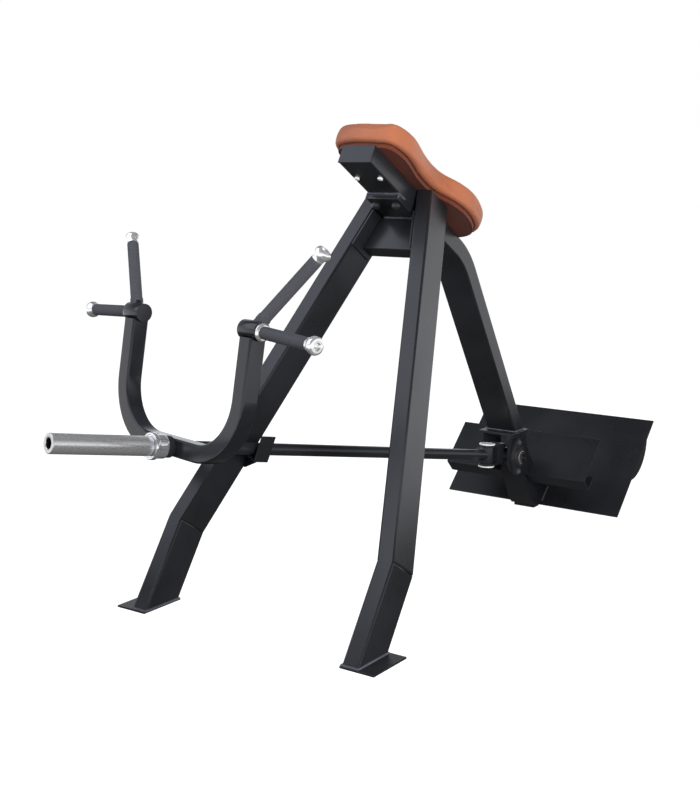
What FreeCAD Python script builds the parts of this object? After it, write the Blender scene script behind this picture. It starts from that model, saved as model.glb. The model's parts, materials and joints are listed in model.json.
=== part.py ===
import FreeCAD, Part
import math
import os

from FreeCAD import Matrix, Placement, Rotation, Vector

os.makedirs("parts", exist_ok=True)

doc = FreeCAD.newDocument("incline_lever_row")

# Driving dimensions: millimetres and degrees. +X is the machine's right, +Y its rear, +Z up.
# The origin is on the floor under the rear foot.
DIMENSIONS = {
    # leaning front frame, measured in its own plane
    "frame_lean": 33.85, "frame_front": 1468.0, "leg_width": 46.0, "leg_depth": 102.0,
    "leg_wall": 3.0, "foot_half": 325.5, "knee_up": 260.0, "leg_splay": 14.14, "edge_round": 5.0,
    "floor_plate": 5.0, "floor_plate_length": 134.0, "floor_plate_width": 94.0,
    "crossbar_base": 1098.0, "crossbar_inset": 40.0, "crossbar_thick": 46.0, "end_plate": 5.0,
    # spine
    "spine_front": 960.0, "spine_height": 1159.0, "spine_drop": 30.54, "spine_width": 100.0,
    "spine_thick": 50.0, "spine_upper": 565.0, "spine_lean": 31.46, "spine_bend": 230.0,
    "spine_foot": 286.0, "cap_plate": 4.0, "joint_plate": 8.0, "joint_plate_start": 158.0,
    "joint_plate_length": 190.0, "bolt_dome": 12.5, "bolt_spread": 32.0, "bolt_from_end": 185.0,
    # rear base
    "flange_thick": 8.0, "flange_width": 122.0, "cheek_outer": 50.0, "cheek_thick": 8.0,
    "post_half": 40.0, "foot_rubber": 8.0,
    "plate_thick": 6.0, "plate_angle": 44.3, "plate_width": 622.0, "plate_length": 390.0,
    "plate_start": 32.0, "plate_raise": 7.0, "step_width": 498.0, "step_length": 165.0, "step_return": 51.0,
    "step_lip": 50.0, "step_thick": 5.0, "step_start": -84.6, "step_height": 135.0,
    "rib_radius": 119.0, "rib_sagitta": 46.0, "rib_thick": 5.0, "rib_up": 243.0,
    # pivot
    "shaft_back": -170.0, "shaft_height": 206.5, "shaft_radius": 12.5, "shaft_half": 74.0,
    "housing_thick": 12.0, "boss_radius": 30.0, "boss_length": 10.0, "running_gap": 0.05,
    "pin_reach": 94.6, "pin_lean": 4.0, "pin_radius": 9.0, "bush_radius": 20.0, "bush_half": 26.0,
    "ear_thick": 6.0, "ear_radius": 23.0, "pin_cap_radius": 25.0, "pin_cap_thick": 4.5,
    # lever
    "lever_pitch": 9.67, "lever_swing": 13.6, "bar_radius": 16.5,
    "yoke_reach": 1156.0, "yoke_tube": 46.0, "yoke_half": 253.0, "yoke_height": 317.5,
    "yoke_bend": 150.0, "yoke_wall": 3.0, "ring_radius": 28.0, "ring_length": 19.0,
    "collar_radius": 30.5, "collar_length": 27.0, "flange_radius": 34.5, "flange_length": 13.0,
    "sleeve_radius": 25.0, "sleeve_bore": 13.5, "sleeve_length": 274.0, "sleeve_chamfer": 2.5,
    "sleeve_spigot": 22.0, "sleeve_relief": 24.4, "relief_length": 2.0,
    # handles
    "hub_radius": 24.0, "hub_half": 33.0, "core_radius": 12.5, "grip_radius": 15.5,
    "handle_ring_radius": 22.0, "handle_ring_length": 10.3, "ring_inset": 1.3, "cross_reach": 236.0,
    "cross_droop": 3.2,
    "raised_reach": 261.0, "raised_out": 156.8, "raised_up": 200.9, "raised_back": 54.7,
    "cap_radius": 22.0, "cap_length": 29.0, "cap_neck": 16.5, "cap_neck_length": 9.0,
    "raised_cap_radius": 20.5, "raised_boss_radius": 16.5, "raised_boss_length": 16.0,
    # bar catch on the left leg
    "catch_centre": 907.0, "catch_length": 45.0, "catch_thick": 5.0, "catch_lip_gap": 31.0,
    "catch_drop": 17.0, "catch_lip_height": 52.0, "catch_tilt": 16.9, "gusset_drop": 42.0,
    # chest pad
    "board_thick": 12.0, "board_inset": 18.0, "cushion_thick": 59.0, "pad_screw_from_end": 78.5,
    "pad_screw_spread": 36.0, "pad_screw_radius": 7.0,
}

sheet = doc.addObject("Spreadsheet::Sheet", "Dimensions")
for row, (name, number) in enumerate(DIMENSIONS.items(), start=1):
    sheet.set("A%d" % row, name)
    sheet.set("B%d" % row, str(number))
    sheet.setAlias("B%d" % row, name)
doc.recompute()


def size(name):
    """A driving dimension read back from the sheet."""
    return float(sheet.get(name))


def bind(obj, prop, expression):
    """Drive a property by an expression whose words are sheet aliases in the form <name>."""
    obj.setExpression(prop, expression.replace("<", "Dimensions.").replace(">", ""))


def axes(x_dir, y_dir, z_dir, base):
    """A placement that takes the local axes onto three given directions."""
    matrix = Matrix(x_dir.x, y_dir.x, z_dir.x, base.x,
                    x_dir.y, y_dir.y, z_dir.y, base.y,
                    x_dir.z, y_dir.z, z_dir.z, base.z,
                    0, 0, 0, 1)
    return Placement(matrix)


def rad(name):
    return math.radians(size(name))


# ---- reference frames ------------------------------------------------------------------------
lean = rad("frame_lean")
FRAME_UP = Vector(0, math.sin(lean), math.cos(lean))
FRAME_OUT = Vector(0, -math.cos(lean), math.sin(lean))
# local x across, y up the lean, z out of the front faces
FRAME_PLANE = axes(Vector(1, 0, 0), FRAME_UP, FRAME_OUT, Vector(0, -size("frame_front"), 0))
# local x towards the rear, y up, z to the right
SIDE_PLANE = axes(Vector(0, 1, 0), Vector(0, 0, 1), Vector(1, 0, 0), Vector(0, 0, 0))

drop = rad("spine_drop")
SPINE_TOP = Vector(0, -size("spine_front"), size("spine_height"))
SPINE_ALONG = Vector(0, math.cos(drop), -math.sin(drop))
SPINE_UP = Vector(0, math.sin(drop), math.cos(drop))
# local x to the right, y down along the spine from its front end, z out of its top face
PAD_PLANE = axes(Vector(1, 0, 0), SPINE_ALONG, SPINE_UP, SPINE_TOP)

SHAFT = Vector(0, size("shaft_back"), size("shaft_height"))
pitch = rad("lever_pitch")
FORK_AHEAD = Vector(0, -math.cos(pitch), math.sin(pitch))
PIN = SHAFT + FORK_AHEAD * size("pin_reach")
pin_lean = rad("pin_lean")
PIN_UP = Vector(0, math.sin(pin_lean), math.cos(pin_lean))
# local x to the right, y back square to the pin, z up the pin
PIN_PLANE = axes(Vector(1, 0, 0), PIN_UP.cross(Vector(1, 0, 0)), PIN_UP, PIN)

swing = rad("lever_swing")
AHEAD = Vector(-math.sin(swing) * math.cos(pitch), -math.cos(swing) * math.cos(pitch), math.sin(pitch))
ACROSS = Vector(math.cos(swing), -math.sin(swing), 0)
ABOVE = AHEAD.cross(ACROSS)
# local x across the lever, y above it, z ahead along it, from the pin
LEVER = axes(ACROSS, ABOVE, AHEAD, PIN)


def at(frame, x, y, z, turn=None):
    """A placement at a local point of a frame, turned there if asked."""
    return frame.multiply(Placement(Vector(x, y, z), turn or Rotation()))


# ---- builders --------------------------------------------------------------------------------
made = []


def keep(obj, label):
    """Give a finished sub-part its name and list it for export."""
    obj.Label = label
    made.append((obj, label))
    return obj


def origin_plane(body, role):
    return next(f for f in body.Origin.OriginFeatures if f.Role == role)


def add_sketch(body, name, loops, plane="XY_Plane"):
    """A sketch on one of the body's own planes, made of closed loops of points and arcs."""
    sketch = body.newObject("Sketcher::SketchObject", name)
    sketch.AttachmentSupport = (origin_plane(body, plane), [""])
    sketch.MapMode = "FlatFace"
    for loop in loops:
        for piece in loop:
            sketch.addGeometry(piece, False)
    return sketch


def polygon(points):
    """Straight pieces round a closed list of (x, y) points."""
    corners = [Vector(x, y, 0) for x, y in points]
    return [Part.LineSegment(a, b) for a, b in zip(corners, corners[1:] + corners[:1])]


def circle(x, y, radius):
    return [Part.Circle(Vector(x, y, 0), Vector(0, 0, 1), radius)]


def unit(a, b):
    span = (b - a)
    return span.multiply(1.0 / span.Length)


def strip(points, bends, half, stretch=0.0):
    """Outline of a bent strip about a centre line; bends are centre-line radii (0: mitred)."""
    line = [Vector(x, y, 0) for x, y in points]
    line[0] = line[0] - unit(line[0], line[1]) * stretch
    line[-1] = line[-1] + unit(line[-2], line[-1]) * stretch
    sides = []
    for side in (1, -1):
        pieces = []
        start = line[0] + normal(line[0], line[1]) * half * side
        for before, here, after, bend in zip(line, line[1:], line[2:], bends):
            corner, first, second, centre = offset_corner(before, here, after, bend, half * side)
            if bend:
                pieces.append(Part.LineSegment(start, first))
                pieces.append(Part.Arc(first, middle_of_arc(first, second, centre), second))
                start = second
            else:
                pieces.append(Part.LineSegment(start, corner))
                start = corner
        end = line[-1] + normal(line[-2], line[-1]) * half * side
        pieces.append(Part.LineSegment(start, end))
        sides.append((pieces, line[0] + normal(line[0], line[1]) * half * side, end))
    (left, left_start, left_end), (right, right_start, right_end) = sides
    caps = [Part.LineSegment(left_end, right_end), Part.LineSegment(right_start, left_start)]
    return left + caps[:1] + right + caps[1:]


def normal(a, b):
    along = unit(a, b)
    return Vector(-along.y, along.x, 0)


def offset_corner(before, here, after, bend, offset):
    """Corner of an offset line, and the ends and centre of its bend."""
    one, two = unit(before, here), unit(here, after)
    left_one, left_two = normal(before, here), normal(here, after)
    half_turn = math.atan2(one.cross(two).z, one.dot(two)) / 2
    corner = here + (left_one + left_two) * (offset / (left_one + left_two).Length / math.cos(half_turn))
    sign = 1 if half_turn > 0 else -1
    cut = bend * math.tan(abs(half_turn))
    first = here - one * cut + left_one * offset
    second = here + two * cut + left_two * offset
    centre = here - one * cut + left_one * (bend * sign)
    return corner, first, second, centre


def middle_of_arc(first, second, centre):
    middle = (first + second) * 0.5 - centre
    return centre + middle * ((first - centre).Length / middle.Length)


def pad_body(label, loops, length, placement, centred=False):
    """A body with one padded sketch; the length is an expression."""
    body = doc.addObject("PartDesign::Body", "Body_" + label)
    sketch = add_sketch(body, "Sketch_" + label, loops)
    pad = body.newObject("PartDesign::Pad", "Pad_" + label)
    pad.Profile = sketch
    pad.Midplane = centred
    bind(pad, "Length", length)
    sketch.Visibility = False
    body.Placement = placement
    doc.recompute()
    return body


def pocket(body, name, loops, length, plane="XY_Plane"):
    """A pocket cut evenly to both sides of the sketch; the length is an expression."""
    before = body.Shape.Volume
    sketch = add_sketch(body, "Sketch_" + name, loops, plane)
    cut = body.newObject("PartDesign::Pocket", "Pocket_" + name)
    cut.Profile = sketch
    cut.Midplane = True
    bind(cut, "Length", length)
    sketch.Visibility = False
    doc.recompute()
    if body.Shape.Volume >= before - 1.0:
        raise RuntimeError(name + " removed nothing")
    return cut


def round_edges(body, name, wanted, radius="<edge_round>"):
    """Fillet the tip's edges that a test picks out."""
    tip = body.Tip
    names = ["Edge%d" % (i + 1) for i, edge in enumerate(tip.Shape.Edges) if wanted(edge)]
    fillet = body.newObject("PartDesign::Fillet", "Fillet_" + name)
    fillet.Base = (tip, names)
    bind(fillet, "Radius", radius)
    doc.recompute()
    return fillet


def lengthwise(depth_half, shortest, z_mid=0.0):
    """Test for a padded strip's long corner edges: on either flat side and longer than its ends."""
    def wanted(edge):
        ends = [v.Point.z - z_mid for v in edge.Vertexes]
        flat = all(abs(abs(z) - depth_half) < 1e-3 for z in ends)
        return flat and (edge.Length > shortest or edge.Curve.TypeId == "Part::GeomCircle")
    return wanted


def cylinder(name, radius, height, placement):
    solid = doc.addObject("Part::Cylinder", name)
    bind(solid, "Radius", radius)
    bind(solid, "Height", height)
    solid.Placement = placement
    return solid


def box(name, length, width, height, placement):
    solid = doc.addObject("Part::Box", name)
    bind(solid, "Length", length)
    bind(solid, "Width", width)
    bind(solid, "Height", height)
    solid.Placement = placement
    return solid


def cut(name, base, *tools):
    result = base
    for number, tool in enumerate(tools):
        piece = doc.addObject("Part::Cut", "%s_%d" % (name, number))
        piece.Base = result
        piece.Tool = tool
        result = piece
    doc.recompute()
    return result


def fuse(name, *solids, refine=True):
    piece = doc.addObject("Part::MultiFuse", name)
    piece.Shapes = list(solids)
    piece.Refine = refine
    doc.recompute()
    return piece


def tube(name, outer, inner, height, placement):
    """A round tube; the bore runs on past both ends so that it opens cleanly."""
    wall = cylinder(name + "_outside", outer, height, placement)
    hole = cylinder(name + "_inside", inner, height + " + 2", at(placement, 0, 0, -1))
    return cut(name, wall, hole)


def chamfer_circles(name, solid, radius, setback, picks=None):
    """Chamfer the circular edges of one radius."""
    doc.recompute()
    piece = doc.addObject("Part::Chamfer", name)
    piece.Base = solid
    wanted = []
    for i, edge in enumerate(solid.Shape.Edges):
        round_edge = edge.Curve.TypeId == "Part::GeomCircle" and abs(edge.Curve.Radius - radius) < 1e-3
        if round_edge and (picks is None or picks(edge)):
            wanted.append((i + 1, setback, setback))
    piece.Edges = wanted
    doc.recompute()
    return piece


# ---- front frame -----------------------------------------------------------------------------
splay = rad("leg_splay")


def leg_line(up):
    """Half spacing of the leg centre lines at a distance up the lean."""
    return size("foot_half") - max(0.0, up - size("knee_up")) * math.tan(splay)


def spine_top_at(y):
    return size("spine_height") - (y + size("spine_front")) * math.tan(drop)


def to_frame(y, z):
    """Side-view point as (distance in front of the front faces, distance up the lean)."""
    local = FRAME_PLANE.inverse().multVec(Vector(0, y, z))
    return local.z, local.y


def leg_outline(side, part, half):
    """Outline of the upright shin or the splayed thigh of a leg, mitred together at the knee."""
    foot, knee, top = -60.0, size("knee_up"), 1330.0
    line = [Vector(side * leg_line(up), up, 0) for up in (foot, knee, top)]
    mitre = [offset_corner(*line, 0, half * way)[0] for way in (1, -1)]
    free = line[0] if part == "shin" else line[2]
    across = normal(line[0], line[1]) if part == "shin" else normal(line[1], line[2])
    ends = [free - across * half, free + across * half]
    return [(p.x, p.y) for p in mitre + ends]


def leg_part(side, part, label):
    """A rectangular tube in the leaning plane, cut level at the floor plate or along the spine top."""
    half, wall, depth = size("leg_width") / 2, size("leg_wall"), size("leg_depth")
    place = at(FRAME_PLANE, 0, 0, -depth / 2)
    body = pad_body(label, [polygon(leg_outline(side, part, half))], "<leg_depth>", place, centred=True)
    round_edges(body, label, lengthwise(depth / 2, 2.5 * half))
    inner = polygon(leg_outline(side, part, half - wall))
    pocket(body, label + "_bore", [inner], "<leg_depth> - 2 * <leg_wall>")
    front = -size("frame_front")
    if part == "shin":
        ends = [to_frame(y, size("floor_plate")) for y in (front - 200, front + 400)]
        away = -600
    else:
        ends = [to_frame(y, spine_top_at(y)) for y in (front + 500, front + 1000)]
        away = 400
    near, far = [(up, ahead + depth / 2) for ahead, up in ends]
    trim = [near, far, (far[0] + away, far[1]), (near[0] + away, near[1])]
    pocket(body, label + "_end", [polygon(trim)], "2000 mm", "YZ_Plane")
    return keep(body, label)


def floor_plate(side, label):
    inner = leg_line(0) - size("leg_width") / 2 - 1.5
    width = size("floor_plate_width")
    x = inner if side > 0 else -inner - width
    place = Placement(Vector(x, -size("frame_front") - 3, 0), Rotation())
    plate = box(label, "<floor_plate_width>", "<floor_plate_length>", "<floor_plate>", place)
    return keep(plate, label)


def side_box(points, name, length, label=None, placement=SIDE_PLANE, hollow=None):
    """A side-view outline padded evenly about the middle plane."""
    body = pad_body(name, [polygon(points)], length, placement, centred=True)
    return keep(body, label) if label else body


def from_frame(ahead, up):
    """Side-view (y, z) of a point given by its distance ahead of the front faces and up the lean."""
    point = FRAME_PLANE.multVec(Vector(0, up, ahead))
    return point.y, point.z


def from_spine(along, below):
    """Side-view (y, z) of a point along the spine's top face and below it."""
    point = SPINE_TOP + SPINE_ALONG * along - SPINE_UP * below
    return point.y, point.z


def crossbar():
    """Rectangular bar between the legs; its top lies on the joint plate under the spine."""
    inset, thick = size("crossbar_inset"), size("crossbar_thick")
    roof = size("spine_thick") + 2 * size("joint_plate")
    top = []
    for ahead in (-inset, -inset - thick):
        up = size("crossbar_base")
        y, z = from_frame(ahead, up)
        depth = (SPINE_TOP - Vector(0, y, z)).dot(SPINE_UP)
        top.append(from_frame(ahead, up + (depth - roof) / FRAME_UP.dot(SPINE_UP)))
    bottom = [from_frame(-inset - thick, size("crossbar_base")), from_frame(-inset, size("crossbar_base"))]
    body = pad_body("crossbar_block", [polygon(top + bottom)], "400 mm", SIDE_PLANE, centred=True)
    return body


def end_plate_outline(side):
    """Outline, in the leaning plane, of a plate lying against a leg's inner face."""
    low, high = size("crossbar_base") - 12, size("crossbar_base") + 96
    step = size("end_plate") / math.cos(splay)
    face = size("leg_width") / 2 / math.cos(splay)
    outer = [(leg_line(up) - face, up) for up in (low, high)]
    inner = [(x - step, up) for x, up in reversed(outer)]
    return [(side * x, up) for x, up in outer + inner]


def end_plate(side, label):
    place = at(FRAME_PLANE, 0, 0, -44)
    return pad_body(label, [polygon(end_plate_outline(side))], "88 mm", place, centred=True)


def build_front_frame():
    for side, word in ((1, "right"), (-1, "left")):
        leg_part(side, "thigh", "front_leg_" + word)
        leg_part(side, "shin", "front_shin_" + word)
    floor_plate(1, "floor_plate_right")
    floor_plate(-1, "floor_plate_left")
    keep(end_plate(1, "crossbar_plate_right"), "crossbar_plate_right")
    keep(end_plate(-1, "crossbar_plate_left"), "crossbar_plate_left")
    block = crossbar()
    room = size("leg_width") / 2 / math.cos(splay) + size("end_plate") / math.cos(splay)
    trims = []
    for side in (1, -1):
        points = [(side * (leg_line(up) - room), up) for up in (1000, 1300)]
        points += [(points[1][0] + side * 200, 1300), (points[0][0] + side * 200, 1000)]
        name = "crossbar_trim_%d" % (1 if side > 0 else 2)
        trims.append(pad_body(name, [polygon(points)], "400 mm", at(FRAME_PLANE, 0, 0, -60), centred=True))
    keep(cut("crossbar_cut", block, *trims), "crossbar")


# ---- spine and what bolts to it --------------------------------------------------------------
def spine_line():
    """Side-view centre line of the spine tube, from its capped front end to below its flange."""
    half = size("spine_thick") / 2
    tilt = rad("spine_lean")
    front = from_spine(size("cap_plate"), half)
    turn_angle = math.pi / 2 - tilt - drop
    corner = from_spine(size("spine_upper") - half * math.tan(turn_angle / 2), half)
    down = (corner[1] - size("spine_foot") + 60) / math.cos(tilt)
    end = (corner[0] + down * math.sin(tilt), corner[1] - down * math.cos(tilt))
    return [front, corner, end]


def spine():
    points, half = spine_line(), size("spine_thick") / 2
    body = pad_body("spine", [strip(points, [size("spine_bend")], half)], "<spine_width>", SIDE_PLANE, True)
    round_edges(body, "spine", lengthwise(size("spine_width") / 2, 2.2 * half))
    inner = strip(points, [size("spine_bend")], half - size("leg_wall"), stretch=5.0)
    pocket(body, "spine_bore", [inner], "<spine_width> - 2 * <leg_wall>")
    level = size("spine_foot")
    below = [(-400, level), (100, level), (100, level - 300), (-400, level - 300)]
    pocket(body, "spine_end", [polygon(below)], "400 mm")
    return keep(body, "spine")


def joint_plate(layer, label):
    """One of the two plates bolted together between spine and crossbar."""
    thick = size("joint_plate")
    low = size("spine_thick") + layer * thick
    start, length = size("joint_plate_start"), size("joint_plate_length")
    points = [from_spine(start, low), from_spine(start + length, low),
              from_spine(start + length, low + thick), from_spine(start, low + thick)]
    return side_box(points, label, "<spine_width>", label)


def revolved(label, profile, placement):
    """A solid of revolution about local z; the profile is a closed loop in the local x-z plane."""
    body = doc.addObject("PartDesign::Body", "Body_" + label)
    sketch = add_sketch(body, "Sketch_" + label, [profile], "XZ_Plane")
    turned = body.newObject("PartDesign::Revolution", "Revolution_" + label)
    turned.Profile = sketch
    turned.ReferenceAxis = (sketch, ["V_Axis"])
    turned.Angle = 360
    sketch.Visibility = False
    body.Placement = placement
    doc.recompute()
    return body


def dome_bolt(side, label):
    """Domed bolt head under the joint plates."""
    low = size("spine_thick") + 2 * size("joint_plate")
    place = at(PAD_PLANE, side * size("bolt_spread"), size("bolt_from_end"), -low,
               Rotation(Vector(1, 0, 0), 180))
    radius, skirt = size("bolt_dome"), 4.0
    flat = 0.15 * radius
    crown = skirt + math.sqrt(radius ** 2 - flat ** 2)
    corners = [Vector(0, 0, 0), Vector(radius, 0, 0), Vector(radius, skirt, 0), Vector(flat, crown, 0),
               Vector(0, crown, 0)]
    middle = Vector(radius * math.sqrt(0.5), skirt + radius * math.sqrt(0.5), 0)
    profile = [Part.LineSegment(corners[0], corners[1]), Part.LineSegment(corners[1], corners[2]),
               Part.Arc(corners[2], middle, corners[3]), Part.LineSegment(corners[3], corners[4]),
               Part.LineSegment(corners[4], corners[0])]
    return keep(revolved(label, profile, place), label)


def pad_screw(side, label):
    place = at(PAD_PLANE, side * size("pad_screw_spread"), size("pad_screw_from_end"), -size("spine_thick"),
               Rotation(Vector(1, 0, 0), 180))
    head = cylinder(label, "<pad_screw_radius>", "5 mm", place)
    return keep(chamfer_circles(label + "_head", head, size("pad_screw_radius"), 1.5,
                                lambda edge: far_end(edge, place)), label)


def far_end(edge, place):
    """True for an edge away from a placement's own origin plane."""
    return abs(place.inverse().multVec(edge.Vertexes[0].Point).z) > 1.0


def pad_outline(inset=0.0):
    """Closed outline of the chest pad: a narrower head lobe, a waist and a wider lower lobe."""
    half = [(-2, 64), (11, 91), (40, 106), (78, 112), (113, 109), (160, 101), (205, 99), (251, 107),
            (290, 130), (325, 144), (364, 149.5), (420, 142), (468, 120.5), (497, 87), (510, 45)]
    right = [Vector(x, along, 0) for along, x in half]
    left = [Vector(-p.x, p.y, 0) for p in reversed(right)]
    curve = Part.BSplineCurve()
    curve.interpolate(right + left, PeriodicFlag=True)
    if not inset:
        return curve
    moved = []
    for point in right + left:
        along = curve.tangent(curve.parameter(point))[0]
        moved.append(point + Vector(-along.y, along.x, 0) * inset)
    inner = Part.BSplineCurve()
    inner.interpolate(moved, PeriodicFlag=True)
    return inner


def pad_layer(label, inset, thick, start):
    """One layer of the pad standing on the spine's top face."""
    layer = doc.addObject("Part::Feature", label)
    outline = Part.Wire([pad_outline(inset).toShape()])
    layer.Shape = Part.Face(outline).extrude(Vector(0, 0, thick))
    layer.Placement = at(PAD_PLANE, 0, 0, start)
    return keep(layer, label)


def chest_pad():
    """Plywood board under a foam cushion."""
    pad_layer("pad_board", size("board_inset"), size("board_thick"), 0)
    pad_layer("chest_pad", 0, size("cushion_thick"), size("board_thick"))


def build_spine():
    spine()
    points = [from_spine(0, 0), from_spine(size("cap_plate"), 0),
              from_spine(size("cap_plate"), size("spine_thick")), from_spine(0, size("spine_thick"))]
    side_box(points, "spine_cap", "<spine_width>", "spine_cap")
    joint_plate(0, "joint_plate_upper")
    joint_plate(1, "joint_plate_lower")
    dome_bolt(1, "dome_bolt_right")
    dome_bolt(-1, "dome_bolt_left")
    pad_screw(1, "pad_screw_right")
    pad_screw(-1, "pad_screw_left")
    chest_pad()


# ---- rear base -------------------------------------------------------------------------------
slope = rad("plate_angle")
SLOPE_UP = Vector(0, math.cos(slope), math.sin(slope))
SLOPE_OUT = Vector(0, -math.sin(slope), math.cos(slope))


def along_slope(start, up, out):
    """Side-view (y, z) at a distance up a sloping plate and out of its face."""
    point = start + SLOPE_UP * up + SLOPE_OUT * out
    return point.y, point.z


def cheek_outline():
    """Side plate that carries a bearing; its rear edge lies on the step plate."""
    step = Vector(0, size("step_start"), size("step_height"))
    roof = size("spine_foot") - size("flange_thick")
    return [(-209, roof), (-209, 182), (-196, 165), (-100, 136), along_slope(step, 1.5, 0),
            along_slope(step, 50, 0), (-72, 197), (-92, 229), (-96, roof)]


def post_outline():
    """Side view of the hollow post between the side plates, the floor and the footplate."""
    plate = Vector(0, size("plate_start"), 0)
    return [(-150, 218), (-118, 175), (-93.4, 135), (-28, 24), (-14, 12), (2, size("foot_rubber")),
            (34, size("foot_rubber")), along_slope(plate, 14, 0.2), along_slope(plate, 76, 0.2), (30, 77),
            (-52, 128), (-84, 172), (-112, 218)]


def inset_polygon(points, wall):
    """The same outline moved inwards by a wall's thickness; the points run clockwise or anticlockwise."""
    corners = [Vector(x, y, 0) for x, y in points]
    area = sum(a.cross(b).z for a, b in zip(corners, corners[1:] + corners[:1]))
    side = 1 if area > 0 else -1
    moved = []
    for before, here, after in zip(corners[-1:] + corners[:-1], corners, corners[1:] + corners[:1]):
        corner = offset_corner(before, here, after, 0, wall * side)[0]
        moved.append((corner.x, corner.y))
    return moved


def step_outline():
    """Folded step: a tread, a return square to it and a lip running back up."""
    start = Vector(0, size("step_start"), size("step_height"))
    thick, back, lip = size("step_thick"), size("step_return"), size("step_lip")
    length = size("step_length")
    return [along_slope(start, length, 0), along_slope(start, 0, 0), along_slope(start, 0, -back),
            along_slope(start, lip, -back), along_slope(start, lip, thick - back),
            along_slope(start, thick, thick - back), along_slope(start, thick, -thick),
            along_slope(start, length, -thick)]


def rib(side, label):
    """Rounded rib standing behind the footplate near its edge."""
    radius, deep = size("rib_radius"), size("rib_sagitta")
    half = math.sqrt(radius ** 2 - (radius - deep) ** 2)
    mid, back = size("rib_up"), -size("plate_thick")
    plane = axes(SLOPE_UP, SLOPE_OUT, Vector(1, 0, 0),
                 Vector(side * (size("plate_width") / 2 - 9), size("plate_start"), 0))
    arc = Part.Arc(Vector(mid - half, back, 0), Vector(mid, back - deep, 0), Vector(mid + half, back, 0))
    chord = Part.LineSegment(Vector(mid + half, back, 0), Vector(mid - half, back, 0))
    return keep(pad_body(label, [[arc, chord]], "<rib_thick>", plane, centred=True), label)


def bearing_housing(side, label):
    """Two-bolt oval flange with a round boss, bored for the shaft."""
    width, reach, small = 34.0, 46.0, 14.0
    turn = Rotation(Vector(0, 1, 0), 90 * side)
    base = Placement(Vector(side * size("cheek_outer"), size("shaft_back"), size("shaft_height")), turn)
    middle = cylinder(label + "_middle", "34 mm", "<housing_thick>", base)
    lobes = []
    for way in (1, -1):
        height = size("shaft_height") + way * reach
        ends = Placement(Vector(side * size("cheek_outer"), size("shaft_back"), height), turn)
        lobes.append(cylinder(label + "_lobe_%d" % (way + 2), "14 mm", "<housing_thick>", ends))
    web = web_between(label + "_web", width, reach, small, base, side)
    boss = cylinder(label + "_boss", "<boss_radius>", "<housing_thick> + <boss_length>", base)
    solid = fuse(label + "_solid", middle, web, boss, *lobes)
    bore = cylinder(label + "_bore", "<shaft_radius> + <running_gap>", "80 mm",
                    base.multiply(Placement(Vector(0, 0, -20), Rotation())))
    return keep(cut(label + "_cut", solid, bore), label)


def web_between(name, wide, reach, small, base, side):
    """The straight-sided web tangent to a middle circle and two smaller ones."""
    lean_in = math.asin((wide - small) / reach)
    points = []
    for way in (1, -1):
        across, up = math.cos(lean_in), math.sin(lean_in)
        near = (wide * across, way * wide * up)
        far = (small * across, way * (reach + small * up))
        points.append((near, far))
    (near_up, far_up), (near_low, far_low) = points
    outline = [far_low, near_low, near_up, far_up]
    outline += [(-x, y) for x, y in reversed(outline)]
    plane = axes(Vector(0, side, 0), Vector(0, 0, 1), Vector(side, 0, 0), base.Base)
    return pad_body(name, [polygon(outline)], "<housing_thick>", plane)


def footplate():
    start = Vector(0, size("plate_start"), 0)
    thick, length = size("plate_thick"), size("plate_length")
    points = [along_slope(start, size("plate_raise"), 0), along_slope(start, length, 0),
              along_slope(start, length, -thick), along_slope(start, size("plate_raise"), -thick)]
    return side_box(points, "footplate", "<plate_width>", "footplate")


def build_rear_base():
    underside = size("spine_foot") - size("flange_thick")
    flange_place = Placement(Vector(-size("flange_width") / 2, -209, underside), Rotation())
    keep(box("spine_flange", "<flange_width>", "105 mm", "<flange_thick>", flange_place), "spine_flange")
    hole_place = Placement(Vector(-100, size("shaft_back"), size("shaft_height")),
                           Rotation(Vector(0, 1, 0), 90))
    for side, label in ((1, "bearing_plate_right"), (-1, "bearing_plate_left")):
        plane = at(SIDE_PLANE, 0, 0, side * (size("cheek_outer") - size("cheek_thick") / 2))
        blank = pad_body(label + "_blank", [polygon(cheek_outline())], "<cheek_thick>", plane, centred=True)
        hole = cylinder(label + "_hole", "<shaft_radius> + 4", "200 mm", hole_place)
        keep(cut(label + "_cut", blank, hole), label)
    post = pad_body("base_post_block", [polygon(post_outline())], "2 * <post_half>", SIDE_PLANE, centred=True)
    pocket(post, "base_post_bore", [polygon(inset_polygon(post_outline(), 5.0))], "2 * <post_half> - 10")
    room = cylinder("base_post_room", "34 mm", "200 mm", hole_place)
    keep(cut("base_post_cut", post, room), "base_post")
    pad_place = Placement(Vector(-36, -3, 0), Rotation())
    keep(box("rear_foot", "72 mm", "36 mm", "<foot_rubber>", pad_place), "rear_foot")
    footplate()
    tread = pad_body("step_blank", [polygon(step_outline())], "<step_width>", SIDE_PLANE, centred=True)
    space = pad_body("step_notch", [polygon(post_outline())], "2 * <post_half>", SIDE_PLANE, centred=True)
    keep(cut("step_cut", tread, space), "step_plate")
    for side, label in ((1, "footplate_rib_right"), (-1, "footplate_rib_left")):
        rib(side, label)
    for side, label in ((1, "bearing_right"), (-1, "bearing_left")):
        bearing_housing(side, label)


# ---- catch that holds the bar at rest --------------------------------------------------------
def catch_plane():
    """Local x away from the leg, y up along its inner face, z ahead along the bar."""
    tilt = rad("catch_tilt")
    away = (ACROSS * math.cos(tilt) - ABOVE * math.sin(tilt))
    up = (ACROSS * math.sin(tilt) + ABOVE * math.cos(tilt))
    return axes(away, up, AHEAD, PIN + AHEAD * size("catch_centre"))


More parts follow.
